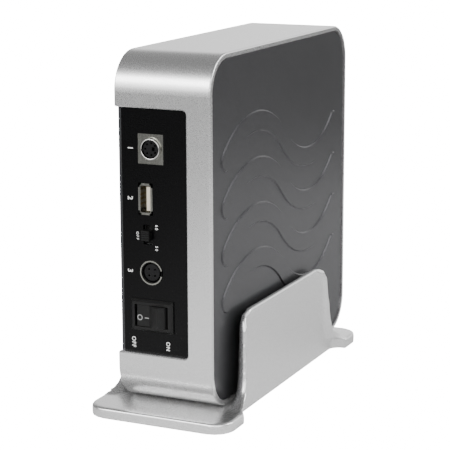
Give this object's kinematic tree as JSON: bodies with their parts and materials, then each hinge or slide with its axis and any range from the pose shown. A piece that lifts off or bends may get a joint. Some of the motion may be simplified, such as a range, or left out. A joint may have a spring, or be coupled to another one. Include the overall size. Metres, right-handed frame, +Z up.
{
  "type": "hard disk media player",
  "caption": "Slim upright media player with a hard drive drawer, sockets and a power rocker at one end, standing in a silver cradle.",
  "frame": {"origin": "on the surface the cradle's pads stand on, at the middle of the whole outline", "axes": "+Z up, -Y the end with the sockets and switches, +X the side with the raised waves"},
  "size_m": [0.0726, 0.1794, 0.17],
  "materials": {
    "silver_paint": "satin metallic silver paint on moulded plastic",
    "gunmetal_paint": "semi-gloss dark metallic paint",
    "black_plastic": "fine-grained semi-matt black",
    "switch_black": "smooth satin black",
    "socket_black": "moulded black insulator",
    "pad_rubber": "black rubber",
    "bright_nickel": "bright nickel plate",
    "zinc_sheet": "zinc-plated sheet steel",
    "cast_aluminium": "as-cast aluminium",
    "drive_lid_steel": "stamped stainless steel",
    "green_board": "solder-masked laminate",
    "chip_black": "moulded epoxy package",
    "sink_black": "black anodised",
    "bright_can": "bright aluminium can",
    "brass_plate": "plated brass",
    "screw_steel": "zinc-plated steel screws",
    "smoked_window": "infra-red smoked acrylic",
    "clear_plastic": "clear acrylic",
    "cream_plastic": "cream insulator",
    "brown_laminate": "phenolic laminate",
    "lead_insulation": "vinyl lead insulation"
  },
  "bodies": {
    "stand": {"cradle": "silver_paint", "cradle_pads": "pad_rubber"},
    "player": {"wrap_band": "silver_paint", "embossed_cover": "gunmetal_paint", "plain_cover": "gunmetal_paint", "front_window": "smoked_window", "light_pipes": "clear_plastic"},
    "drawer": {"drive_tray": "zinc_sheet", "connector_panel": "black_plastic", "panel_screws": "screw_steel", "drive_casting": "cast_aluminium", "drive_lid": "drive_lid_steel", "drive_board": "green_board", "drive_chips": "chip_black", "drive_connector": "socket_black", "drive_screws": "screw_steel", "main_board": "green_board", "board_standoffs": "brass_plate", "board_screws": "screw_steel", "dock_socket": "socket_black", "processor": "chip_black", "heat_sink": "sink_black", "memory_chips": "chip_black", "small_chips": "chip_black", "power_coils": "chip_black", "crystal": "bright_can", "capacitors": "bright_can", "indicator_lamps": "clear_plastic", "infra_red_receiver": "smoked_window", "socket_board": "green_board", "socket_standoffs": "cream_plastic", "board_link": "socket_black", "av_socket_shell": "bright_nickel", "av_socket_body": "socket_black", "av_socket_core": "socket_black", "usb_socket_shell": "bright_nickel", "usb_tongue": "cream_plastic", "usb_contacts": "brass_plate", "supply_socket_body": "socket_black", "supply_socket_core": "socket_black", "supply_socket_ring": "bright_nickel", "slide_switch_frame": "zinc_sheet", "slide_switch_base": "brown_laminate", "rocker_switch_body": "switch_black", "rocker_terminals": "brass_plate", "rocker_leads": "lead_insulation"},
    "mode_knob": {"slide_knob": "switch_black"},
    "rocker": {"power_rocker": "switch_black"}
  },
  "joints": [
    {"name": "player_lift", "type": "slide", "parent": "stand", "child": "player", "axis": [0, 0, 1], "range_m": [0, 0.1]},
    {"name": "drive_drawer_slide", "type": "slide", "parent": "player", "child": "drawer", "axis": [0, -1, 0], "range_m": [0, 0.17]},
    {"name": "mode_slide", "type": "slide", "parent": "drawer", "child": "mode_knob", "axis": [0, 0, 1], "range_m": [-0.002, 0.002]},
    {"name": "power_rocker_hinge", "type": "hinge", "parent": "drawer", "child": "rocker", "pos_m": [-0.00665, -0.074, 0.0491], "axis": [0, 0, 1], "range_deg": [0, 32]}
  ]
}
